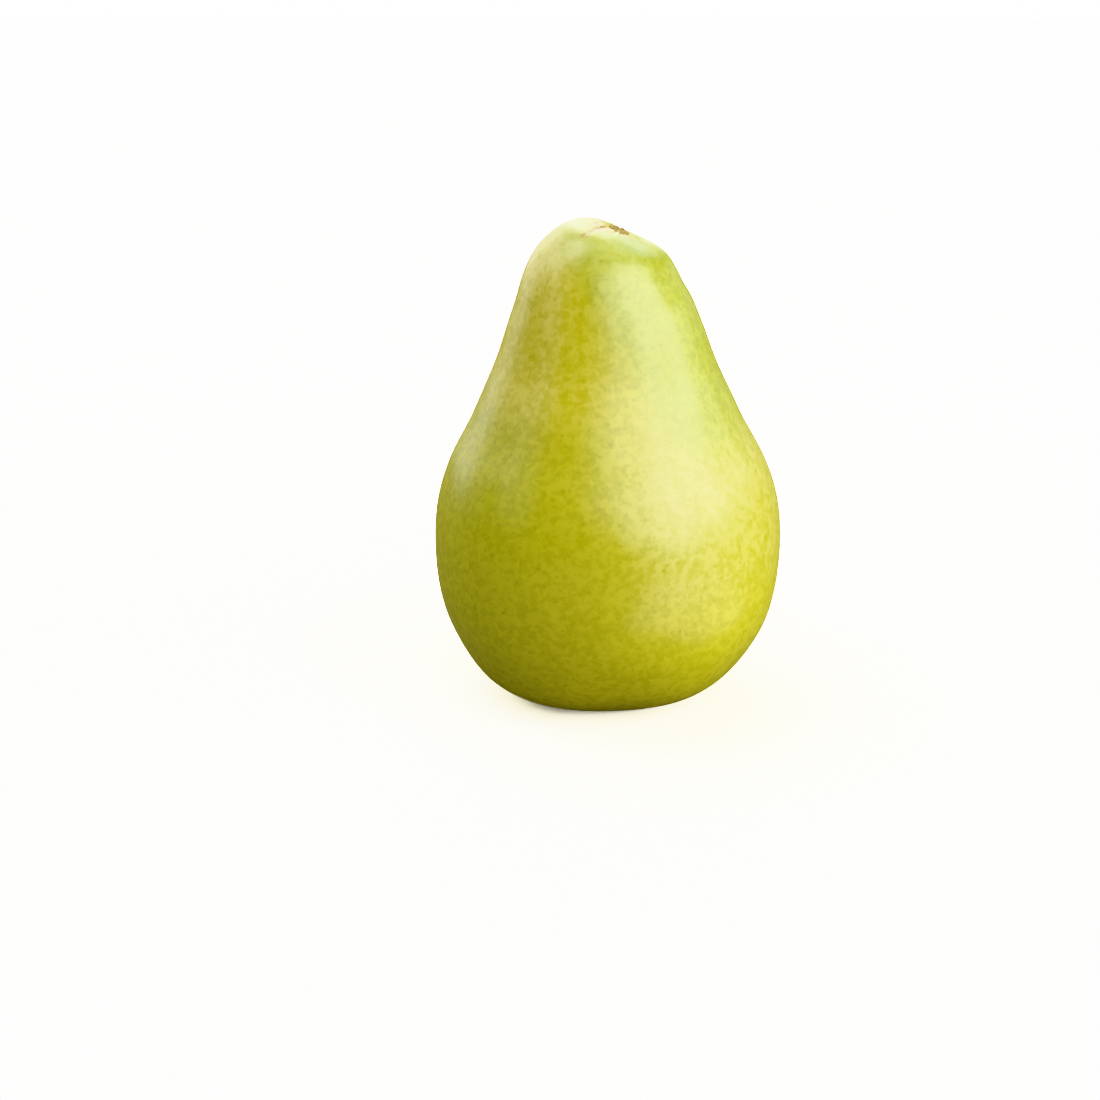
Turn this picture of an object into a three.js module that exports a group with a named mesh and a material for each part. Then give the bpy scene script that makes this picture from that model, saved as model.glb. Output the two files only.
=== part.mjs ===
// A whole ripe pear standing on its calyx end. Millimetres, +Z up along the core, resting on z = 0,
// origin under the widest part of the fruit. The neck leans a little to -X and the crown nods to
// +X, so the highest point is a fleshy shoulder on the -X side of the broken-off stem.

import * as THREE from "three";

// Overall size. The outline below is drawn for these two and every other length follows it.
const SEAT_INNER_RADIUS = 9; // the flat ring the fruit rests on
const SEAT_OUTER_RADIUS = 13;
const CROWN_HEIGHT = 100.7; // on the core line, beside the stem

// Departures from a turned shape.
const NECK_LEAN = -1.1; // sideways shift of the neck along X
const NECK_LEAN_FROM = 31;
const NECK_LEAN_TO = 90;
const CROWN_TILT = THREE.MathUtils.degToRad(28); // the crown nods towards +X about its pivot
const CROWN_PIVOT = 89.6;
const CROWN_TILT_FROM = 84.6;
const CROWN_TILT_TO = 106.6; // above the stem, so the tilt is still growing at the top
const STEM_SHIFT = -1.4; // the stem stands this far up the slope of the tilted crown
const STEM_SHIFT_FULL_RADIUS = 3;
const STEM_SHIFT_GONE_RADIUS = 11;
const BULGES = [
  { count: 2, share: 0.008, angle: THREE.MathUtils.degToRad(40) },
  { count: 3, share: 0.007, angle: THREE.MathUtils.degToRad(100) },
];
const CALYX_LOBES = { count: 5, share: 0.012, angle: THREE.MathUtils.degToRad(20) };
const CALYX_LOBES_FULL_RADIUS = 24; // the five lobes are full here and gone at the seat
const CALYX_LOBES_FROM = 45; // height where they begin, full below CALYX_LOBES_FULL_HEIGHT
const CALYX_LOBES_FULL_HEIGHT = 10;

// Stem and calyx.
const STEM_RADIUS = 2.1;
const STEM_OVALITY = 0.08;
const SOCKET_RADIUS = 2.5;
const SOCKET_DEPTH = 3.2;
const STEM_SUNK = 0.7; // the broken face lies this far under the crown
const FIT_GAP = 0.35; // clear space between neighbouring pieces
const CALYX_TUBE_RADIUS = 2.6;
const CALYX_TUBE_TOP = 6.3;
const SEPAL_COUNT = 5;
const SEPAL_WIDTH = 2.3;
const SEPAL_THICKNESS = 0.5;
const TUFT_RADIUS = 1.4;
const TUFT_HEIGHT = 3.6;
const TUFT_RIPPLES = 7;

// Smoothness of the meshes.
const TURNS = 56; // columns round the fruit
const OUTLINE_STEPS = 46; // rings from the seat to the socket
const BASIN_STEPS = 10;

const SKIN = new THREE.MeshStandardMaterial({ color: 0xb9be3c, roughness: 0.38, metalness: 0 });
const WOOD = new THREE.MeshStandardMaterial({ color: 0x8a7434, roughness: 0.85, metalness: 0 });
const DRIED = new THREE.MeshStandardMaterial({ color: 0x6d4526, roughness: 0.9, metalness: 0 });

const point = (radius, height) => new THREE.Vector2(radius, height);

// The basin: from the calyx tube at the core out to the inner edge of the seat.
function basinOutline() {
  return new THREE.SplineCurve([
    point(0, CALYX_TUBE_TOP),
    point(1.8, 5.8),
    point(CALYX_TUBE_RADIUS, 4.5),
    point(5, 2.7),
    point(7.2, 0.9),
    point(SEAT_INNER_RADIUS, 0),
  ]).getPoints(BASIN_STEPS);
}

// The flank: from the outer edge of the seat round the belly, up the neck to the lip of the socket.
function flankOutline() {
  return new THREE.SplineCurve([
    point(SEAT_OUTER_RADIUS, 0),
    point(20.5, 1.6),
    point(28, 6.2),
    point(33.2, 14),
    point(35.9, 22),
    point(36.8, 31),
    point(36, 41),
    point(33.2, 51),
    point(28.2, 61),
    point(23.6, 71),
    point(20.2, 81),
    point(17.2, 89),
    point(14.3, 95),
    point(10.3, 99.1),
    point(3.9, CROWN_HEIGHT),
    point(SOCKET_RADIUS, CROWN_HEIGHT - 0.3),
  ]).getPoints(OUTLINE_STEPS);
}

// The narrow socket that holds the stem.
function socketOutline() {
  const floor = CROWN_HEIGHT - SOCKET_DEPTH;
  return [point(SOCKET_RADIUS, floor + 0.6), point(SOCKET_RADIUS - 0.6, floor), point(0, floor)];
}

// Moves a point of the turned shape to its place on the grown one.
function grow(x, y, z) {
  const step = THREE.MathUtils.smoothstep;
  const angle = Math.atan2(y, x);
  const radius = Math.hypot(x, y);
  const ripple = ({ count, share, angle: start }) => share * Math.cos(count * (angle - start));
  const lobesLow = 1 - step(z, CALYX_LOBES_FULL_HEIGHT, CALYX_LOBES_FROM);
  const lobesOut = step(radius, SEAT_OUTER_RADIUS, CALYX_LOBES_FULL_RADIUS);
  const bulge = BULGES.reduce((sum, each) => sum + ripple(each), 0);
  const scale = 1 + bulge + ripple(CALYX_LOBES) * lobesLow * lobesOut;
  const stemward = 1 - step(radius, STEM_SHIFT_FULL_RADIUS, STEM_SHIFT_GONE_RADIUS);
  const tilt = CROWN_TILT * step(z, CROWN_TILT_FROM, CROWN_TILT_TO);
  const across = x * scale + (z > CROWN_PIVOT ? STEM_SHIFT * stemward : 0);
  const above = z - CROWN_PIVOT;
  const lean = NECK_LEAN * step(z, NECK_LEAN_FROM, NECK_LEAN_TO);
  return [
    across * Math.cos(tilt) + above * Math.sin(tilt) + lean,
    y * scale,
    CROWN_PIVOT + above * Math.cos(tilt) - across * Math.sin(tilt),
  ];
}

function reshape(geometry, move) {
  const at = geometry.attributes.position;
  for (let i = 0; i < at.count; i += 1) {
    at.setXYZ(i, ...move(at.getX(i), at.getY(i), at.getZ(i)));
  }
  geometry.computeVertexNormals();
  return geometry;
}

// A closed body turned round Z from an outline that starts and ends on the core line.
function turned(outline, columns) {
  return new THREE.LatheGeometry(outline, columns).rotateX(Math.PI / 2);
}

function named(name, geometry, material) {
  const mesh = new THREE.Mesh(geometry, material);
  mesh.name = name;
  return mesh;
}

function pearBody() {
  const outline = [...basinOutline(), ...flankOutline(), ...socketOutline()];
  return named("pear_body", reshape(turned(outline, TURNS), grow), SKIN);
}

// The stem is broken off level with the flesh, so only a short oval plug is left in the socket.
function stemStub() {
  const top = CROWN_HEIGHT - STEM_SUNK;
  const bottom = CROWN_HEIGHT - SOCKET_DEPTH + FIT_GAP;
  const outline = [
    point(0, bottom),
    point(STEM_RADIUS - 0.8, bottom),
    point(STEM_RADIUS, bottom + 1),
    point(STEM_RADIUS, top - 0.25),
    point(STEM_RADIUS - 0.3, top),
    point(STEM_RADIUS * 0.5, top - 0.15),
    point(0, top - 0.1),
  ];
  const oval = (x, y, z) => grow(x, y * (1 - STEM_OVALITY), z);
  return named("stem_stub", reshape(turned(outline, 24), oval), WOOD);
}

// One dried sepal: a flat leaf that narrows to its tip and curls out and down from the calyx tube.
function sepal(index) {
  const rib = new THREE.QuadraticBezierCurve(point(2.4, 3.5), point(4, 2.9), point(5.2, 0.9));
  const turn = (2 * Math.PI * index) / SEPAL_COUNT + CALYX_LOBES.angle;
  const leaf = new THREE.SphereGeometry(1, 12, 10).rotateZ(Math.PI / 2);
  const curl = (along, across, up) => {
    const share = (1 + along) / 2;
    const spine = rib.getPoint(share);
    const slope = rib.getTangent(share);
    const width = (SEPAL_WIDTH / 2) * (1 - 0.55 * share);
    const lift = (SEPAL_THICKNESS / 2) * up;
    const radius = spine.x - slope.y * lift;
    const side = across * width;
    return [
      radius * Math.cos(turn) - side * Math.sin(turn),
      radius * Math.sin(turn) + side * Math.cos(turn),
      spine.y + slope.x * lift,
    ];
  };
  return named(`sepal_${index + 1}`, reshape(leaf, curl), DRIED);
}

// The dried stamens and styles, matted into one ribbed knob in the mouth of the calyx tube.
function stamenTuft() {
  const knob = new THREE.SphereGeometry(1, 28, 10).rotateX(Math.PI / 2);
  const middle = CALYX_TUBE_TOP - FIT_GAP - TUFT_HEIGHT / 2;
  const rib = (x, y, z) => {
    const swell = TUFT_RADIUS * (1 + 0.07 * Math.cos(TUFT_RIPPLES * Math.atan2(y, x)));
    return [x * swell, y * swell, middle + (z * TUFT_HEIGHT) / 2];
  };
  return named("stamen_tuft", reshape(knob, rib), DRIED);
}

const pear = new THREE.Group();
pear.name = "pear";
pear.add(pearBody(), stemStub(), stamenTuft());
for (let index = 0; index < SEPAL_COUNT; index += 1) {
  pear.add(sepal(index));
}

export default pear;
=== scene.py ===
"""A whole ripe pear, standing on its calyx end in a white studio.

Lengths are in millimetres until a mesh is made, where MM turns them into Blender's metres. The frame is the
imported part's: +Z up along the core, the camera looks along +Y, and the fruit rests on z = 0.
"""

import math
from collections import namedtuple

import bpy
import numpy as np
from mathutils import Euler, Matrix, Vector, noise


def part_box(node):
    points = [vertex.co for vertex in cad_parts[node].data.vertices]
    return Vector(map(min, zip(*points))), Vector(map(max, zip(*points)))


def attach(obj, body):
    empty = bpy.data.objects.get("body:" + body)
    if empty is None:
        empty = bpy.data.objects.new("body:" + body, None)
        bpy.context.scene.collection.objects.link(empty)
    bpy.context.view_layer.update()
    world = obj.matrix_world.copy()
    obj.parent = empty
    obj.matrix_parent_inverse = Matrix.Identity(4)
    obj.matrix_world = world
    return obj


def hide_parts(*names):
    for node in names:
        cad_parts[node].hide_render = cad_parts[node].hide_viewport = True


MM = 0.001
NOISE_SEED = 1  # mathutils takes its noise vectors from the clock unless it is given a seed

# A ripple round the core: its number of crests, its height as a share of the radius, and its first crest.
Ripple = namedtuple("Ripple", "count share angle")

# Outline of the fruit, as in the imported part: radius and height, from the basin to the stem socket.
SEAT_INNER_RADIUS = 9.0
SEAT_OUTER_RADIUS = 13.0
CROWN_HEIGHT = 100.7
CALYX_TUBE_RADIUS = 2.6
CALYX_TUBE_TOP = 6.3
BASIN = [
    (0.0, CALYX_TUBE_TOP),
    (1.8, 5.8),
    (CALYX_TUBE_RADIUS, 4.5),
    (5.0, 2.7),
    (7.2, 0.9),
    (SEAT_INNER_RADIUS, 0.0),
]
FLANK = [
    (SEAT_OUTER_RADIUS, 0.0),
    (20.5, 1.6),
    (28.0, 6.2),
    (33.2, 14.0),
    (35.9, 22.0),
    (36.8, 31.0),
    (36.0, 41.0),
    (33.2, 51.0),
    (28.2, 61.0),
    (23.6, 71.0),
    (20.2, 81.0),
    (17.2, 89.0),
    (14.3, 95.0),
    (10.3, 99.1),
    (3.9, CROWN_HEIGHT),
    (2.35, CROWN_HEIGHT - 0.35),
]
SOCKET = [(2.2, CROWN_HEIGHT - 1.0), (2.1, CROWN_HEIGHT - 2.6), (0.0, CROWN_HEIGHT - 3.2)]

# Departures from a turned shape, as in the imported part.
NECK_LEAN = -1.1
NECK_LEAN_FROM = 31.0
NECK_LEAN_TO = 90.0
CROWN_TILT = math.radians(28)
CROWN_PIVOT = 89.6
CROWN_TILT_FROM = 84.6
CROWN_TILT_TO = 106.6
STEM_SHIFT = -1.4
STEM_SHIFT_FULL_RADIUS = 3.0
STEM_SHIFT_GONE_RADIUS = 11.0
TWO_BULGES = Ripple(2, 0.008, math.radians(40))
THREE_BULGES = Ripple(3, 0.007, math.radians(100))
CALYX_LOBES = Ripple(5, 0.012, math.radians(20))
CALYX_LOBES_FULL_RADIUS = 24.0
CALYX_LOBES_FROM = 45.0
CALYX_LOBES_FULL_HEIGHT = 10.0

# Fine shape that only the visible mesh has. A RISE is where a feature starts and where it is full, and a
# FALL is where it starts to fade and where it is gone. Both are radii, except where the name has HEIGHT.
SWELL_HEIGHT = 0.44  # slow unevenness of the whole skin
SWELL_SPACING = 17.0
SWELL_HEIGHT_RISE = (0.0, 3.0)
SWELL_BASIN_FALL = (6.0, 9.0)
CROWN_HEIGHT_RISE = (CROWN_HEIGHT - 14, CROWN_HEIGHT - 3)
SHOULDER_COUNT = 3  # fleshy shoulders round the stem
SHOULDER_HEIGHT = 0.22
SHOULDER_ANGLE = math.radians(138)
SHOULDER_RISE = (2.5, 7.5)
FOLD_ANGLE = math.radians(-143)  # one deeper fold between two shoulders
FOLD_ANGLE_RADIUS = 4.0  # where the fold lies at that angle
FOLD_BEND = 0.021  # how much the angle grows with each millimetre outwards
FOLD_DEPTH = 0.2
FOLD_HALF_WIDTH = 0.75
FOLD_RISE = (2.2, 4.5)
FOLD_FALL = (6.5, 12.0)
PLEATS = [(19, 1.0, 0.0), (27, 1.0, 1.3), (13, 0.7, 2.1)]  # crests, strength and phase of each wave
PLEAT_DEPTH = 0.06
STEM_PLEAT_RISE = (1.9, 2.8)
STEM_PLEAT_FALL = (3.2, 6.0)
BASIN_FOLD_DEPTH = 0.28
BASIN_RISE = (CALYX_TUBE_RADIUS - 0.6, 4.0)
BASIN_FALL = (6.5, SEAT_INNER_RADIUS)
BASIN_HEIGHT_FALL = (5.0, 7.0)

# Mesh density of the skin.
COLUMNS = 384
BASIN_RINGS = 34
SEAT_RINGS = 4
FLANK_RINGS = 206
SOCKET_RINGS = 10

# Stem. Its torn face stands a little proud of the flesh.
STEM_RADIUS = 2.1
STEM_FOOT = CROWN_HEIGHT - 2.8
STEM_FACE = CROWN_HEIGHT + 0.1
STEM_SIDE = [
    (1.2, STEM_FOOT),
    (1.9, STEM_FOOT + 0.5),
    (STEM_RADIUS, STEM_FOOT + 1.2),
    (STEM_RADIUS, STEM_FACE - 0.3),
    (STEM_RADIUS - 0.12, STEM_FACE),
]
STEM_FACE_RADIUS = STEM_RADIUS - 0.2
STEM_PITH_RADIUS = 0.12  # the innermost ring of the face
STEM_SIDE_RINGS = 22
STEM_FACE_RINGS = 20
STEM_COLUMNS = 72
STEM_RIDGES = [(13, 0.02, 0.0), (21, 0.015, 0.8)]  # crests, share of the radius and phase of each wave
TORN_DEPTH = 0.6  # how far below the face the tearing reaches
TORN_SINK = 0.1
TORN_LUMPS = (0.25, 1.6, 3.0)  # height, number to the millimetre, and a place in the noise
TORN_FIBRES = (0.18, 5.0, 7.0)
RIM_HEIGHT = 0.15
RIM_RISE = (1.2, STEM_FACE_RADIUS)
SPLINTER_HEIGHT = 0.7
SPLINTER_PLACE = (-STEM_FACE_RADIUS, 0.3)
SPLINTER_HALF_WIDTH = 0.32

# Calyx: five dried sepals round a tuft of dried stamens and styles.
SEPAL_COUNT = 5
SEPAL_RIB = [(2.5, 4.4), (4.0, 2.9), (5.2, 0.9)]  # radius and height of its start, its bend and its tip
SEPAL_WIDTH = 2.7
SEPAL_THICKNESS = 0.36
SEPAL_ROWS = 30
SEPAL_COLUMNS = 17
SEPAL_TAPER = 0.45  # the power of the share of its length still ahead
SEPAL_WAIST = 0.72  # its width at the start, as a share of the full width
SEPAL_RAGGEDNESS = 0.22  # as a share of the width
SEPAL_CUP = 0.35
SEPAL_MIDRIB_DEPTH = 0.12
SEPAL_MIDRIB_HALF_WIDTH = 0.2  # as a share of the half width
SEPAL_CRINKLE = 0.3
THREADS = [(22, 1.25, 0.13), (11, 0.8, 0.14), (5, 0.35, 0.17)]  # how many, how far out, and how thick
THREAD_STEPS = 12
THREAD_SIDES = 8
THREAD_TOP = CALYX_TUBE_TOP - 0.55
THREAD_LENGTH = 3.1
THREAD_ROOT_INSET = 0.25  # it is rooted this much closer to the core than it stands
THREAD_BOW = 0.35  # outwards in its middle
THREAD_LEAN = 0.45  # inwards at its end
THREAD_WANDER = 0.28  # how far its end strays, in every direction
THREAD_TURN_WANDER = 0.7  # how far it stands from its even place round the tube, in radians
THREAD_TAPER = (1.1, 0.6)  # how thick it starts and ends, as shares of its thickness
THREAD_HEAD_RADIUS = 0.16
THREAD_HEAD_SHARE = 0.88  # how far along it the withered head sits
THREAD_HEAD_HALF_LENGTH = 0.09  # as a share of the length
OFF_AXIS = (0.31, 0.83, 0.46)  # a direction that no thread runs in

# The skin's colour varies by zone, and two of the zones paint light into it. Each zone has a colour, a
# strength, and the directions along which it fades in, with the place where it starts and the place
# where it is full. "slant" follows the edge of the neck: it is x plus NECK_SLANT times z.
NECK_SLANT = 0.57
SKIN_GROUNDS = ("dcd738", "e1da40")
SKIN_AND_PAINTED_LIGHT_ZONES = [
    ("e0dd30", 1.0, [("X", -8, -22), ("Z", 70, 58)]),  # the left flank, greener
    ("e1dc70", 0.7, [("X", 0, 14), ("Z", 26, 36), ("Z", 72, 56)]),  # the right side, paler: a painted highlight where the key light's reflection falls
    ("f8ec60", 1.0, [("X", 2, -10), ("Z", 60, 73)]),  # the left of the neck, warmer and brighter: painted light in place of light from the left
    ("c3cd36", 0.8, [("slant", 42, 54), ("Z", 53, 66)]),  # the right of the neck, green
]
CROWN_COLOUR = "e2e68c"
CROWN_COLOUR_STRENGTH = 0.6
CROWN_COLOUR_HEIGHTS = (96.5, 107)
CROWN_COLOUR_UNEVENNESS = 7.0
MINT_COLOUR = "d6e29c"
MINT_STRENGTH = 0.75
MINT_OFFSET = np.array([3.0, -5.0, -2.0])  # from the stem to the middle of the pale green of the crown
MINT_REACH = (8.5, 2.5)
MOTTLE_TINT = (0.78, 0.8, 0.04)  # the mottle and the lenticels are the skin's own colour times these
MOTTLE_SPACING = 1.7
MOTTLE_EDGES = (0.34, 0.66)  # of the noise: none below the first, all above the second
MOTTLE_STRENGTHS = (0.95, 0.25)  # on the flanks and on the pale crown
LENTICEL_TINT = (0.85, 0.87, 0.3)
LENTICEL_STRENGTH = 0.8
LENTICEL_SPACING = 1.8
LENTICEL_SIZE = 0.62
STEM_RUSSET_COLOUR = "dcc67e"
STEM_RUSSET_OFFSET = np.array([-1.2, -0.8, 0.0])  # from the stem to the middle of the russet round it
STEM_RUSSET_REACH = (7.0, 2.6)
STREAK_COLOUR = "b58c2c"
STREAK_RADII = (4.4, 10.6)  # where the tan streak in the fold starts and ends
STREAK_REACH = (1.3, 0.2)
CALYX_RUSSET_COLOUR = "bd9234"
CALYX_RUSSET_CENTRE = (0, 0, 4)
CALYX_RUSSET_REACH = (17, 5)
CALYX_RUSSET_HEIGHTS = (7.0, 1.5)
SKIN_ROUGHNESS = (0.28, 0.34)
RUSSET_ROUGHNESS = 0.25  # added where the skin is russet
PORE_SPACING = 0.55
PORE_DEPTH = 0.012
DIMPLE_SPACING = 3.4
DIMPLE_DEPTH = 0.05

# Stem and calyx colours: the hollows and the raised fibres or ribs, and what darkens them: dark pits,
# and painted shade on the back of the stem.
WOOD_COLOURS = ("a88d48", "dcc880")
WOOD_PIT_AND_SHADE_COLOUR = "43320f"
SEPAL_COLOURS = ("4a2412", "8a5a30")
STAMEN_COLOURS = ("3a1a0e", "7d3f22")
DRIED_TIP_COLOUR = "1d0f08"

# Camera: a 100 mm lens on a 36 mm sensor, looking down 20 degrees at a point on the core of the pear.
LENS = 100.0
SENSOR = 36.0
VIEW_DOWN = math.radians(20)
VIEW_DISTANCE = 645.0
NEAREST_SEEN = 10.0
AIM_HEIGHT = 49.9
AIM_RIGHT_OF_CENTRE = 0.0527  # shares of the picture's width
AIM_ABOVE_CENTRE = 0.0791

# Soft boxes: azimuth, elevation, width, height and power in watts. Azimuth 0 is the camera's side, and it
# turns towards +X. The strongest stand on the right, behind the pear, high on the left and above it.
LIGHT_DISTANCE = 1000.0
LIGHT_AIM = (0, 0, 50)
SOFT_BOXES = {
    "key_box": (51, 24, 460, 860, 4.5),
    "key_front_wing": (24, 27, 460, 700, 2.2),
    "key_soft_edge": (3, 32, 440, 480, 0.7),
    "key_side_wing": (80, 21, 460, 720, 4.0),
    "right_card": (108, 12, 460, 320, 0.85),
    "right_back_card": (140, 8, 500, 420, 0.5),
    "back_box": (176, 29, 500, 880, 4.6),
    "back_left_card": (-160, 18, 500, 760, 2.0),
    "left_back_card": (-132, 17, 500, 760, 1.6),
    "left_card": (-108, 12, 500, 420, 0.3),
    "high_left_box": (-100, 50, 700, 1000, 3.4),
    "front_left_card": (-66, 22, 520, 460, 0.5),
    "top_box": (0, 90, 1500, 1500, 3.6),
}

# A weak lamp low on the right that shines straight up, as a bright thing on the table would.
GLOW_AZIMUTH = 48
GLOW_ELEVATION = -14
GLOW_AIM = (0, 0, 30)
GLOW_DISTANCE = 118
GLOW_SIZE = 110
GLOW_POWER = 0.03

# The white studio. The camera sees the floor and the backdrop brighter than the lamps light them.
FLOOR_HALF_SIZE = 800.0  # past this the lamps light it too little, and the backdrop takes over
FLOOR_FOR_CAMERA = (6.0, 5.95, 5.9, 1)
FLOOR_FOR_LIGHT = (0.28, 0.255, 0.15, 1)
BACKDROP_STRENGTH = 20.0


def colour(code):
    """A Blender colour from a web colour code such as "b9be3c"."""
    channels = [int(code[i : i + 2], 16) / 255 for i in (0, 2, 4)]
    linear = [c / 12.92 if c <= 0.04045 else ((c + 0.055) / 1.055) ** 2.4 for c in channels]
    return (*linear, 1.0)


def smoothstep(value, low, high):
    """From 0 at low to 1 at high, and level outside them."""
    share = np.clip((value - low) / (high - low), 0, 1)
    return share * share * (3 - 2 * share)


def band(value, rise, fall):
    """1 between a rise and a fall, and 0 outside them."""
    return smoothstep(value, *rise) * (1 - smoothstep(value, *fall))


def bell(distance, half_width):
    """A smooth bump: 1 at no distance, and about a third at the half width."""
    return np.exp(-((distance / half_width) ** 2))


def ripple(angle, kind):
    """The share that a Ripple adds to the radius at an angle."""
    return kind.share * np.cos(kind.count * (angle - kind.angle))


def creases(angle, waves):
    """Uneven creases round a point: waves that never quite fall in step."""
    return sum(strength * np.cos(count * angle + phase) for count, strength, phase in waves)


def noise_at(x, y, z):
    """Blender's smooth noise, from about -1 to 1, at every place that the arrays or numbers give."""
    x, y, z = np.broadcast_arrays(x, y, z)
    values = [noise.noise(Vector(place)) for place in zip(x.flat, y.flat, z.flat)]
    return np.array(values).reshape(x.shape)


def spline(points, count):
    """A Catmull-Rom curve through the points, sampled evenly in its parameter."""
    points = np.array(points, float)
    last = len(points) - 1
    place = np.linspace(0, last, count)
    index = np.minimum(place.astype(int), last - 1)
    t = (place - index)[:, None]
    before, start = points[np.maximum(index - 1, 0)], points[index]
    end, after = points[index + 1], points[np.minimum(index + 2, last)]
    leave, arrive = (end - before) / 2, (after - start) / 2
    return (
        (2 * start - 2 * end + leave + arrive) * t**3
        + (-3 * start + 3 * end - 2 * leave - arrive) * t**2
        + leave * t
        + start
    )


def grow(radius, height, angle):
    """Moves points of the turned shape to their places on the grown one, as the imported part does."""
    lobes_low = 1 - smoothstep(height, CALYX_LOBES_FULL_HEIGHT, CALYX_LOBES_FROM)
    lobes_out = smoothstep(radius, SEAT_OUTER_RADIUS, CALYX_LOBES_FULL_RADIUS)
    bulge = ripple(angle, TWO_BULGES) + ripple(angle, THREE_BULGES)
    scale = 1 + bulge + ripple(angle, CALYX_LOBES) * lobes_low * lobes_out
    stemward = 1 - smoothstep(radius, STEM_SHIFT_FULL_RADIUS, STEM_SHIFT_GONE_RADIUS)
    tilt = CROWN_TILT * smoothstep(height, CROWN_TILT_FROM, CROWN_TILT_TO)
    across = radius * scale * np.cos(angle) + np.where(height > CROWN_PIVOT, STEM_SHIFT * stemward, 0)
    above = height - CROWN_PIVOT
    lean = NECK_LEAN * smoothstep(height, NECK_LEAN_FROM, NECK_LEAN_TO)
    x = across * np.cos(tilt) + above * np.sin(tilt) + lean
    y = radius * scale * np.sin(angle)
    z = CROWN_PIVOT + above * np.cos(tilt) - across * np.sin(tilt)
    return np.stack([x, y, z], axis=-1)


def round_the_core(outline, columns):
    """Radius, height and angle of every point of an outline turned round the core, one ring to a row."""
    turns = np.linspace(0, 2 * math.pi, columns, endpoint=False)
    radius, angle = np.meshgrid(outline[:, 0], turns, indexing="ij")
    height = np.repeat(outline[:, 1:], columns, axis=1)
    return radius, height, angle


def make_object(name, points, faces, material):
    """A smooth-shaded object from points in millimetres."""
    mesh = bpy.data.meshes.new(name)
    mesh.from_pydata([tuple(p) for p in np.asarray(points) * MM], [], faces)
    mesh.polygons.foreach_set("use_smooth", [True] * len(mesh.polygons))
    mesh.materials.append(material)
    mesh.update()
    made = bpy.data.objects.new(name, mesh)
    bpy.context.scene.collection.objects.link(made)
    return made


def ring_faces(rings, columns):
    """Quads between neighbouring rings of points that close on themselves."""
    faces = []
    for ring in range(rings - 1):
        low = ring * columns
        for column in range(columns):
            after = (column + 1) % columns
            faces.append((low + column, low + after, low + columns + after, low + columns + column))
    return faces


def closed_surface(rings):
    """Points and faces of a closed body from an array of rings, with a single point closing each end."""
    count, columns = rings.shape[:2]
    points = np.concatenate([rings.reshape(-1, 3), [rings[0].mean(0), rings[-1].mean(0)]])
    start, end = count * columns, count * columns + 1
    faces = ring_faces(count, columns)
    top = (count - 1) * columns
    for column in range(columns):
        after = (column + 1) % columns
        faces.append((start, after, column))
        faces.append((end, top + column, top + after))
    return points, faces


# --- The fruit ------------------------------------------------------------------------------------


def fruit_outline():
    """Radius and height of every ring, from the calyx tube to the floor of the stem socket."""
    basin = spline(BASIN, BASIN_RINGS)[1:]
    seat = np.linspace((SEAT_INNER_RADIUS, 0), (SEAT_OUTER_RADIUS, 0), SEAT_RINGS)[1:-1]
    flank = spline(FLANK, FLANK_RINGS)
    socket = spline([FLANK[-1], *SOCKET], SOCKET_RINGS)[1:-1]
    return np.concatenate([basin, seat, flank, socket])


def swell(points):
    """Slow unevenness of the skin, as heights along its normals, which leaves the resting ring flat."""
    above_seat = smoothstep(points[:, 2], *SWELL_HEIGHT_RISE)
    in_basin = 1 - smoothstep(np.hypot(points[:, 0], points[:, 1]), *SWELL_BASIN_FALL)
    clear = np.clip(above_seat + in_basin, 0, 1)
    return noise_at(*(points / SWELL_SPACING).T) * SWELL_HEIGHT * clear


def fold_angle(radius):
    """The direction from the stem in which the fold lies at a radius."""
    return FOLD_ANGLE + FOLD_BEND * (radius - FOLD_ANGLE_RADIUS)


def crown_relief(radius, height, angle):
    """Shoulders, the fold between two of them, and the pleats round the stem."""
    shoulders = SHOULDER_HEIGHT * np.cos(SHOULDER_COUNT * (angle - SHOULDER_ANGLE))
    shoulders *= smoothstep(radius, *SHOULDER_RISE)
    off_fold = radius * np.sin(angle - fold_angle(radius))
    same_side = np.cos(angle - FOLD_ANGLE) > 0
    fold = FOLD_DEPTH * bell(off_fold, FOLD_HALF_WIDTH) * band(radius, FOLD_RISE, FOLD_FALL) * same_side
    pleats = PLEAT_DEPTH * creases(angle, PLEATS) * band(radius, STEM_PLEAT_RISE, STEM_PLEAT_FALL)
    return smoothstep(height, *CROWN_HEIGHT_RISE) * (shoulders - fold + pleats)


def basin_relief(radius, height, angle):
    """Five soft folds and fine pleats in the calyx basin, which leave the resting ring flat."""
    folds = BASIN_FOLD_DEPTH * np.cos(SEPAL_COUNT * (angle - CALYX_LOBES.angle))
    pleats = PLEAT_DEPTH * creases(angle, PLEATS)
    low = 1 - smoothstep(height, *BASIN_HEIGHT_FALL)
    return low * band(radius, BASIN_RISE, BASIN_FALL) * (folds + pleats)


def make_fruit(skin):
    """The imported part's fruit with a fine surface, and its relief raised along the normals."""
    radius, height, angle = round_the_core(fruit_outline(), COLUMNS)
    points, faces = closed_surface(grow(radius, height, angle))
    fruit = make_object("pear_fruit", points, faces, skin)
    normals = np.empty(points.size)
    fruit.data.vertex_normals.foreach_get("vector", normals)
    relief = swell(points)
    end_relief = crown_relief(radius, height, angle) + basin_relief(radius, height, angle)
    relief[: end_relief.size] += end_relief.ravel()
    moved = (points + normals.reshape(-1, 3) * relief[:, None]) * MM
    fruit.data.vertices.foreach_set("co", moved.ravel())
    fruit.data.update()
    return fruit


# --- The stem -------------------------------------------------------------------------------------


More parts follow.
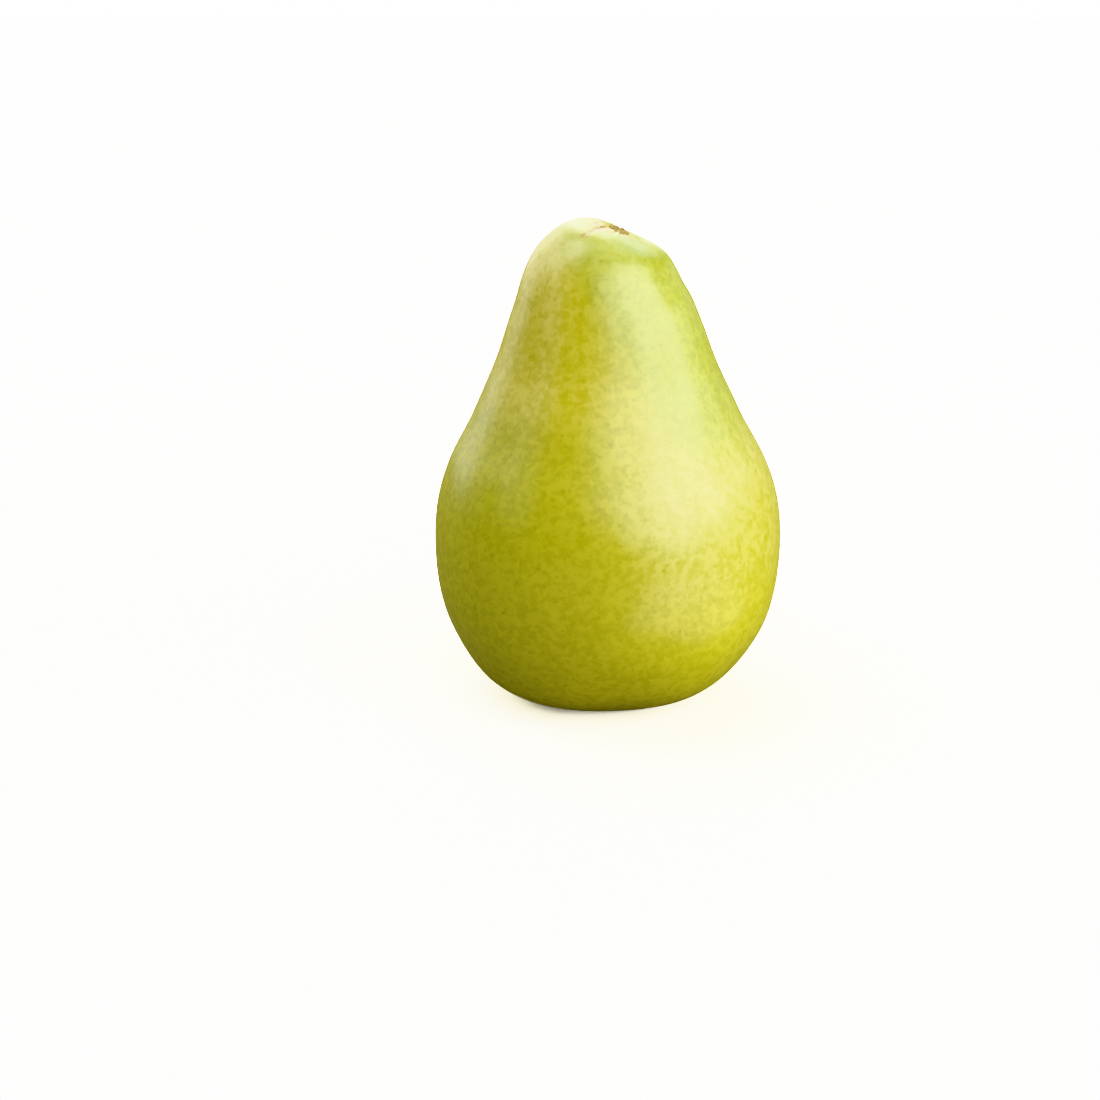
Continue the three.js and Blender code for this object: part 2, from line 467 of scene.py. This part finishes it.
def torn_relief(radius, angle):
    """How far the torn face of the stem stands above its mean height, with its rim and its one splinter."""
    x, y = radius * np.cos(angle), radius * np.sin(angle)
    relief = RIM_HEIGHT * smoothstep(radius, *RIM_RISE) - TORN_SINK
    for height, count, place in (TORN_LUMPS, TORN_FIBRES):
        relief += height * noise_at(x * count, y * count, place)
    splinter_x, splinter_y = SPLINTER_PLACE
    from_splinter = np.hypot(x - splinter_x, y - splinter_y)
    return relief + SPLINTER_HEIGHT * bell(from_splinter, SPLINTER_HALF_WIDTH)


def make_stem(wood):
    """The stem, broken off across its fibres almost level with the flesh."""
    sides = spline(STEM_SIDE, STEM_SIDE_RINGS)
    face = np.linspace((STEM_FACE_RADIUS, STEM_FACE), (STEM_PITH_RADIUS, STEM_FACE), STEM_FACE_RINGS)
    radius, height, angle = round_the_core(np.concatenate([sides, face]), STEM_COLUMNS)
    torn = smoothstep(height, STEM_FACE - TORN_DEPTH, STEM_FACE)
    height = height + torn * torn_relief(radius, angle)
    ridged = radius * (1 + creases(angle, STEM_RIDGES))
    points, faces = closed_surface(grow(ridged, height, angle))
    return make_object("broken_stem", points, faces, wood)


# --- The calyx ------------------------------------------------------------------------------------


def turned(outward, across, up, turn):
    """Points or directions given as outward from the core, across and up, turned round the core."""
    x = outward * math.cos(turn) - across * math.sin(turn)
    y = outward * math.sin(turn) + across * math.cos(turn)
    return np.stack([x, y, up], axis=-1)


def sheet_surface(middle, up, thickness):
    """A thin closed leaf round a grid of middle points: a front and a back that meet all round the edge."""
    rows, columns = middle.shape[:2]
    along = np.sin(np.linspace(0, math.pi, rows))[:, None]
    across = np.sin(np.linspace(0, math.pi, columns))[None]
    half = (thickness / 2) * np.sqrt(np.maximum(along * across, 0))[..., None]
    front, back = middle + up * half, middle - up * half
    inner = np.zeros((rows, columns), bool)
    inner[1:-1, 1:-1] = True
    index = np.arange(rows * columns).reshape(rows, columns)
    other = index.copy()
    other[inner] = index.size + np.arange(inner.sum())
    faces = []
    for r in range(rows - 1):
        for c in range(columns - 1):
            faces.append((index[r, c], index[r, c + 1], index[r + 1, c + 1], index[r + 1, c]))
            faces.append((other[r, c], other[r + 1, c], other[r + 1, c + 1], other[r, c + 1]))
    points = np.concatenate([front.reshape(-1, 3), back[inner]])
    return points, [[int(i) for i in face] for face in faces]


def make_sepal(number, dried):
    """One dried lobe of the calyx: ribbed, ragged at its edges, and curled at its tip.

    Each sepal's number gives it a place of its own in the noise, so that no two are alike.
    """
    turn = 2 * math.pi * number / SEPAL_COUNT + CALYX_LOBES.angle
    row, column = np.arange(SEPAL_ROWS)[:, None], np.arange(SEPAL_COLUMNS)
    share, side = np.linspace(0, 1, SEPAL_ROWS)[:, None], np.linspace(-1, 1, SEPAL_COLUMNS)
    start, bend, tip = (np.array(p) for p in SEPAL_RIB)
    rib = start * (1 - share) ** 2 + 2 * bend * share * (1 - share) + tip * share**2
    slope = 2 * (bend - start) * (1 - share) + 2 * (tip - bend) * share
    slope /= np.linalg.norm(slope, axis=1, keepdims=True)
    outward, up = -slope[:, 1:], slope[:, :1]
    ragged = 1 + SEPAL_RAGGEDNESS * noise_at(number * 5.1, row * 0.45, 0.5)
    belly = SEPAL_WAIST + (1 - SEPAL_WAIST) * np.sin(math.pi * share)
    half_width = SEPAL_WIDTH / 2 * ragged * (1 - share) ** SEPAL_TAPER * belly
    crinkle = SEPAL_CRINKLE * share * noise_at(number * 3.7, row * 0.3, column * 0.45)
    cup = SEPAL_CUP * side**2 - SEPAL_MIDRIB_DEPTH * bell(side, SEPAL_MIDRIB_HALF_WIDTH) + crinkle
    middle = turned(rib[:, :1] + outward * cup, side * half_width, rib[:, 1:] + up * cup, turn)
    points, faces = sheet_surface(middle, turned(outward, 0.0, up, turn), SEPAL_THICKNESS)
    return make_object(f"dried_sepal_{number + 1}", points, faces, dried)


def thread(path, radii):
    """Rings of a tapering thread along a path."""
    ahead = np.gradient(path, axis=0)
    ahead /= np.linalg.norm(ahead, axis=1, keepdims=True)
    aside = np.cross(ahead, OFF_AXIS)
    aside /= np.linalg.norm(aside, axis=1, keepdims=True)
    third = np.cross(ahead, aside)
    angle = np.linspace(0, 2 * math.pi, THREAD_SIDES, endpoint=False)[None, :, None]
    circle = aside[:, None] * np.cos(angle) + third[:, None] * np.sin(angle)
    return path[:, None] + circle * radii[:, None, None]


def stamen_path(number, count, reach):
    """A dried stamen: down the tube's wall, leaning out and then in, each one in its own way."""
    steps = np.linspace(0, 1, THREAD_STEPS)[:, None]
    turn = 2 * math.pi * number / count + THREAD_TURN_WANDER * noise_at(number * 1.7, reach, 0.2)
    wander = np.array([noise.noise_vector(Vector((number * 2.3, s[0] * 1.6, reach))) for s in steps])
    out = np.array([math.cos(turn), math.sin(turn), 0.0])
    root = out * (reach - THREAD_ROOT_INSET) + np.array([0, 0, THREAD_TOP])
    lean = out * (THREAD_BOW * np.sin(math.pi * steps) - THREAD_LEAN * steps**2)
    drop = np.array([0, 0, -1.0]) * steps * THREAD_LENGTH
    return root + lean + drop + wander * THREAD_WANDER * steps


def make_stamens(dried):
    """The matted tuft of stamens and styles in the mouth of the calyx tube, each with its withered head."""
    share = np.linspace(0, 1, THREAD_STEPS)
    head = THREAD_HEAD_RADIUS * bell(share - THREAD_HEAD_SHARE, THREAD_HEAD_HALF_LENGTH)
    points, faces = [], []
    for count, reach, girth in THREADS:
        radii = girth * np.linspace(*THREAD_TAPER, THREAD_STEPS) + head
        for number in range(count):
            thread_points, thread_faces = closed_surface(thread(stamen_path(number, count, reach), radii))
            faces.extend([tuple(i + len(points) for i in face) for face in thread_faces])
            points.extend(thread_points)
    return make_object("dried_stamens", points, faces, dried)


# --- Materials ------------------------------------------------------------------------------------


class Shader:
    """A material's node tree, with one short method for each kind of node that the pear needs."""

    def __init__(self, name):
        self.material = bpy.data.materials.new(name)
        self.material.use_nodes = True
        self.tree = self.material.node_tree
        self.surface = self.tree.nodes["Principled BSDF"]
        place = self.add("ShaderNodeTexCoord").outputs["Object"]
        self.place = self.scaled(place, 1 / MM)

    def feed(self, node, inputs):
        """Gives each input of a node a plain value or another node's output."""
        for name, value in inputs.items():
            if isinstance(value, bpy.types.NodeSocket):
                self.tree.links.new(value, node.inputs[name])
            else:
                node.inputs[name].default_value = value

    def add(self, kind, inputs=None, **settings):
        """A new node with its settings and inputs."""
        node = self.tree.nodes.new(kind)
        for name, value in settings.items():
            setattr(node, name, value)
        self.feed(node, inputs or {})
        return node

    def scaled(self, vector, factor):
        """A vector or colour times a number, or times one number for each of its three values."""
        scale = factor if isinstance(factor, tuple) else (factor,) * 3
        return self.add("ShaderNodeVectorMath", {0: vector, 1: scale}, operation="MULTIPLY").outputs[0]

    def moved(self, vector, offset):
        """A vector plus an offset."""
        return self.add("ShaderNodeVectorMath", {0: vector, 1: tuple(offset)}, operation="ADD").outputs[0]

    def axis(self, name):
        """The surface's X, Y or Z, in millimetres."""
        return self.add("ShaderNodeSeparateXYZ", {0: self.place}).outputs[name]

    def distance(self, spot):
        """Distance to a point, in millimetres."""
        node = self.add("ShaderNodeVectorMath", {0: self.place, 1: tuple(spot)}, operation="DISTANCE")
        return node.outputs["Value"]

    def distance_to_line(self, start, end):
        """Distance to the straight line between two points, in millimetres."""
        along = end - start
        offset = self.moved(self.place, -start)
        dot = self.add("ShaderNodeVectorMath", {0: offset, 1: tuple(along)}, operation="DOT_PRODUCT")
        share = self.step(dot.outputs["Value"], 0.0, float(along @ along), smooth=False)
        nearest = self.add("ShaderNodeVectorMath", {0: tuple(along), "Scale": share}, operation="SCALE")
        gap = self.add("ShaderNodeVectorMath", {0: offset, 1: nearest.outputs[0]}, operation="DISTANCE")
        return gap.outputs["Value"]

    def math(self, operation, first, second):
        """One operation on two values."""
        return self.add("ShaderNodeMath", {0: first, 1: second}, operation=operation).outputs[0]

    def sum(self, first, second):
        """Two values added together."""
        return self.math("ADD", first, second)

    def larger(self, first, second):
        """The larger of two values at each place."""
        return self.math("MAXIMUM", first, second)

    def product(self, first, *others):
        """All the values multiplied together."""
        for other in others:
            first = self.math("MULTIPLY", first, other)
        return first

    def step(self, value, low, high, to_low=0.0, to_high=1.0, smooth=True):
        """From to_low to to_high as the value goes from low to high."""
        inputs = {"Value": value, "From Min": low, "From Max": high, "To Min": to_low, "To Max": to_high}
        kind = "SMOOTHSTEP" if smooth else "LINEAR"
        return self.add("ShaderNodeMapRange", inputs, interpolation_type=kind).outputs[0]

    def noise(self, spacing, detail=3.0, rough=0.55, warp=0.0, stretch=(1, 1, 1), offset=(0, 0, 0)):
        """Noise from 0 to 1 whose blobs are about the spacing across, in millimetres."""
        spots = self.moved(self.scaled(self.place, tuple(s / spacing for s in stretch)), offset)
        inputs = {"Vector": spots, "Scale": 1.0, "Detail": detail, "Roughness": rough, "Distortion": warp}
        return self.add("ShaderNodeTexNoise", inputs).outputs["Fac"]

    def dots(self, spacing, size):
        """Scattered round dots: 1 in the middle of each, 0 between them, and no two equally strong."""
        spots = self.scaled(self.place, 1 / spacing)
        cells = self.add("ShaderNodeTexVoronoi", {"Vector": spots, "Scale": 1.0})
        dot = self.step(cells.outputs["Distance"], size / spacing * 0.35, size / spacing, 1.0, 0.0)
        strength = self.add("ShaderNodeSeparateColor", {0: cells.outputs["Color"]}).outputs["Red"]
        return self.product(dot, self.step(strength, 0.0, 0.9, 0.15, 1.0))

    def mix(self, share, first, second):
        """The first colour where the share is 0, and the second where it is 1."""
        inputs = {0: share, 6: first, 7: second}  # 6 and 7 are the node's two colours
        return self.add("ShaderNodeMix", inputs, data_type="RGBA").outputs[2]

    def bump(self, height, depth, onto=None):
        """A bump as deep as the depth, in millimetres, where the height goes from 0 to 1."""
        inputs = {"Height": height, "Distance": depth * MM, "Strength": 1.0}
        if onto is not None:
            inputs["Normal"] = onto
        return self.add("ShaderNodeBump", inputs).outputs["Normal"]


def skin_ground_and_painted_light(s, stem_spot):
    """The skin's colour by zone, with the painted light of two zones, and how strong its pale crown is."""
    places = {"X": s.axis("X"), "Z": s.axis("Z")}
    places["slant"] = s.sum(places["X"], s.product(places["Z"], NECK_SLANT))
    ground_and_painted_light = s.mix(s.noise(22, 2.0), *(colour(code) for code in SKIN_GROUNDS))
    # Two zones are painted light: a painted highlight on the right side and painted light on the left of
    # the neck.
    for code, strength, fades in SKIN_AND_PAINTED_LIGHT_ZONES:
        steps = [s.step(places[direction], start, full) for direction, start, full in fades]
        ground_and_painted_light = s.mix(s.product(*steps, strength), ground_and_painted_light, colour(code))
    uneven_height = s.sum(places["Z"], s.product(s.noise(7), CROWN_COLOUR_UNEVENNESS))
    crown = s.step(uneven_height, *CROWN_COLOUR_HEIGHTS)
    ground_and_painted_light = s.mix(s.product(crown, CROWN_COLOUR_STRENGTH), ground_and_painted_light, colour(CROWN_COLOUR))
    mint = s.step(s.distance(stem_spot + MINT_OFFSET), *MINT_REACH)
    ground_and_painted_light = s.mix(s.product(mint, MINT_STRENGTH), ground_and_painted_light, colour(MINT_COLOUR))
    return ground_and_painted_light, s.larger(crown, mint)


def skin_spots(s, ground_and_painted_light, paleness):
    """Olive mottle, fainter on the pale crown, and a sprinkling of small lenticels."""
    area = s.step(s.noise(14, 2.0, offset=(3, 8, 5)), 0.3, 0.7, -0.05, 0.05)
    blots = s.step(s.sum(s.noise(MOTTLE_SPACING, 2.0, 0.5, warp=0.35), area), *MOTTLE_EDGES)
    grain = s.step(s.noise(0.8, rough=0.6, offset=(9, 4, 2)), 0.3, 0.7, 0.6, 1.0)
    mottle = s.product(blots, grain, s.step(paleness, 0, 1, *MOTTLE_STRENGTHS))
    mottled = s.mix(mottle, ground_and_painted_light, s.scaled(ground_and_painted_light, MOTTLE_TINT))
    lenticels = s.product(s.dots(LENTICEL_SPACING, LENTICEL_SIZE), LENTICEL_STRENGTH)
    return s.mix(lenticels, mottled, s.scaled(mottled, LENTICEL_TINT))


def skin_russet(s, fresh, stem_spot, streak_ends):
    """The fresh skin with russet round the stem, in the fold and round the calyx, and how strong it is."""
    patches = s.step(s.noise(2.2, 4.0, 0.65, warp=0.8, offset=(1, 7, 3)), 0.4, 0.62)
    near_stem = s.step(s.distance(stem_spot + STEM_RUSSET_OFFSET), *STEM_RUSSET_REACH)
    round_stem = s.product(near_stem, s.sum(s.product(patches, 0.6), 0.25))
    base = s.mix(round_stem, fresh, colour(STEM_RUSSET_COLOUR))
    in_fold = s.step(s.distance_to_line(*streak_ends), *STREAK_REACH)
    streak = s.product(in_fold, s.step(s.noise(1.1), 0.35, 0.55, 0.3, 0.95))
    base = s.mix(streak, base, colour(STREAK_COLOUR))
    near_calyx = s.step(s.distance(CALYX_RUSSET_CENTRE), *CALYX_RUSSET_REACH)
    low = s.step(s.axis("Z"), *CALYX_RUSSET_HEIGHTS)
    round_calyx = s.product(low, near_calyx, s.sum(s.product(patches, 0.55), 0.35))
    base = s.mix(round_calyx, base, colour(CALYX_RUSSET_COLOUR))
    return base, s.larger(round_stem, round_calyx)


def skin_material(stem_spot, streak_ends):
    """Waxy yellow-green skin, mottled olive and dotted with lenticels, with russet at both its ends."""
    s = Shader("pear_skin")
    ground_and_painted_light, paleness = skin_ground_and_painted_light(s, stem_spot)
    base, russet = skin_russet(s, skin_spots(s, ground_and_painted_light, paleness), stem_spot, streak_ends)
    gloss = s.step(s.noise(6), 0.3, 0.7, *SKIN_ROUGHNESS)
    pores = s.bump(s.noise(PORE_SPACING, rough=0.5), PORE_DEPTH)
    surface = {
        "Base Color": base,
        "Roughness": s.sum(gloss, s.product(russet, RUSSET_ROUGHNESS)),
        "Normal": s.bump(s.noise(DIMPLE_SPACING, 2.0), DIMPLE_DEPTH, pores),
        "IOR": 1.6,
        "Specular IOR Level": 1.0,
        "Subsurface Weight": 0.1,
        "Subsurface Radius": (1.0, 0.85, 0.25),
        "Subsurface Scale": 1.0 * MM,
    }
    s.feed(s.surface, surface)
    return s.material


def rough_surface(s, base, roughness, normal):
    """The dull surface of dead wood and dried tissue."""
    surface = {"Base Color": base, "Roughness": roughness, "Specular IOR Level": 0.3, "Normal": normal}
    s.feed(s.surface, surface)
    return s.material


def wood_material():
    """The broken stem: olive-brown fibres with dark pits between them, and painted shade darkening its
    back.
    """
    s = Shader("stem_wood")
    fibres = s.noise(0.5, 4.0, 0.7, stretch=(1, 1, 0.25))
    base = s.mix(s.step(fibres, 0.35, 0.65), *(colour(code) for code in WOOD_COLOURS))
    pits = s.step(s.noise(0.9, offset=(5, 2, 8)), 0.5, 0.36)
    # painted shade: the stem darker towards its back, away from the camera
    back = s.step(s.axis("Y"), 0.7, 1.9)
    base = s.mix(s.product(s.larger(pits, back), 0.6), base, colour(WOOD_PIT_AND_SHADE_COLOUR))
    return rough_surface(s, base, 0.8, s.bump(fibres, 0.12))


def dried_material(name, colours):
    """Dried calyx tissue: wrinkled and matte, paler on its raised ribs, and nearly black at its tips."""
    s = Shader(name)
    wrinkle = s.noise(0.6, 4.0, 0.65, warp=0.5)
    base = s.mix(s.step(wrinkle, 0.38, 0.66), *(colour(code) for code in colours))
    tips = s.step(s.axis("Z"), 2.2, 1.0)
    base = s.mix(s.product(tips, 0.7), base, colour(DRIED_TIP_COLOUR))
    return rough_surface(s, base, 0.82, s.bump(wrinkle, 0.1))


# --- Studio ---------------------------------------------------------------------------------------


def make_camera():
    """The camera, aimed so that the pear's middle falls right of and above the middle of the picture."""
    data = bpy.data.cameras.new("camera")
    data.lens = LENS
    data.sensor_width = SENSOR
    data.clip_start = NEAREST_SEEN * MM
    camera = bpy.data.objects.new("camera", data)
    camera.rotation_euler = Euler((math.pi / 2 - VIEW_DOWN, 0, 0))
    view = camera.rotation_euler.to_matrix()
    frame_width = SENSOR / LENS
    towards = view @ Vector((AIM_RIGHT_OF_CENTRE * frame_width, AIM_ABOVE_CENTRE * frame_width, -1))
    camera.location = (Vector((0, 0, AIM_HEIGHT)) - towards * VIEW_DISTANCE) * MM
    bpy.context.scene.collection.objects.link(camera)
    bpy.context.scene.camera = camera


def soft_box(name, azimuth, elevation, width, height, power, distance=LIGHT_DISTANCE, aim=LIGHT_AIM):
    """A rectangular area light that faces the point it is aimed at."""
    data = bpy.data.lights.new(name, "AREA")
    data.shape = "RECTANGLE"
    data.size = width * MM
    data.size_y = height * MM
    data.energy = power
    light = bpy.data.objects.new(name, data)
    az, el = math.radians(azimuth), math.radians(elevation)
    away = Vector((math.sin(az) * math.cos(el), -math.cos(az) * math.cos(el), math.sin(el)))
    light.location = (Vector(aim) + away * distance) * MM
    light.rotation_euler = away.to_track_quat("Z", "Y").to_euler()
    bpy.context.scene.collection.objects.link(light)
    return light


def make_lights():
    """The soft boxes, and the glow from the table, which the camera doesn't see."""
    for name, settings in SOFT_BOXES.items():
        soft_box(name, *settings)
    place = {"distance": GLOW_DISTANCE, "aim": GLOW_AIM}
    glow = soft_box("table_glow", GLOW_AZIMUTH, GLOW_ELEVATION, GLOW_SIZE, GLOW_SIZE, GLOW_POWER, **place)
    glow.rotation_euler = (math.pi, 0, math.radians(GLOW_AZIMUTH))
    glow.visible_camera = False


def make_world():
    """The camera sees plain white round the floor; the light comes from the soft boxes alone."""
    world = bpy.data.worlds.new("studio")
    world.use_nodes = True
    bpy.context.scene.world = world
    tree = world.node_tree
    seen = tree.nodes.new("ShaderNodeLightPath").outputs["Is Camera Ray"]
    bright = tree.nodes.new("ShaderNodeMath")
    bright.operation = "MULTIPLY"
    bright.inputs[1].default_value = BACKDROP_STRENGTH
    tree.links.new(seen, bright.inputs[0])
    tree.links.new(bright.outputs[0], tree.nodes["Background"].inputs["Strength"])
    tree.nodes["Background"].inputs["Color"].default_value = (1, 1, 1, 1)


def make_floor():
    """A wide white floor that melts into the backdrop and still takes the pear's soft shadow."""
    size = FLOOR_HALF_SIZE
    corners = [(-size, -size, 0), (size, -size, 0), (size, size, 0), (-size, size, 0)]
    s = Shader("studio_white")
    seen = s.add("ShaderNodeLightPath").outputs["Is Camera Ray"]
    white = s.mix(seen, FLOOR_FOR_LIGHT, FLOOR_FOR_CAMERA)
    s.feed(s.surface, {"Base Color": white, "Roughness": 1.0, "Specular IOR Level": 0.0})
    make_object("studio_floor", corners, [(0, 1, 2, 3)], s.material)


# --- The scene ------------------------------------------------------------------------------------


def stem_top():
    """The middle of the stem's face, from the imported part's stem."""
    low, high = (np.array(corner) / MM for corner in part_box("stem_stub"))
    return np.array([(low[0] + high[0]) / 2, 0.0, high[2]])


def streak_ends_in_fold():
    """The two points on the crown between which the tan streak runs, along the fold."""
    radii, heights = np.array(FLANK[-2:-5:-1]).T
    return [grow(radius, np.interp(radius, radii, heights), fold_angle(radius)) for radius in STREAK_RADII]


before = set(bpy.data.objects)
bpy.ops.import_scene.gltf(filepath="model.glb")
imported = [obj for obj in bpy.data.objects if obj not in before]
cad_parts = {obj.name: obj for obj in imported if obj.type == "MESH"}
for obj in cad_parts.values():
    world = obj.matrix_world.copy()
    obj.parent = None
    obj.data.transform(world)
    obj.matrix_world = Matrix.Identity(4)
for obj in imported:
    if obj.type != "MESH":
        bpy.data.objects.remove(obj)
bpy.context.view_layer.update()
noise.seed_set(NOISE_SEED)

make_camera()
make_world()
make_floor()
make_lights()
bpy.context.scene.view_settings.view_transform = "Khronos PBR Neutral"

skin = skin_material(stem_top(), streak_ends_in_fold())
wood = wood_material()
dried = dried_material("dried_calyx", SEPAL_COLOURS)
withered = dried_material("withered_stamens", STAMEN_COLOURS)

pieces = [
    (make_fruit(skin), "pear_body", "pear_skin"),
    (make_stem(wood), "stem_stub", "stem_wood"),
    (make_stamens(withered), "stamen_tuft", "dried_calyx"),
]
for number in range(SEPAL_COUNT):
    pieces.append((make_sepal(number, dried), f"sepal_{number + 1}", "dried_calyx"))
for piece, node, slot in pieces:
    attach(piece, "root")
    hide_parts(node)
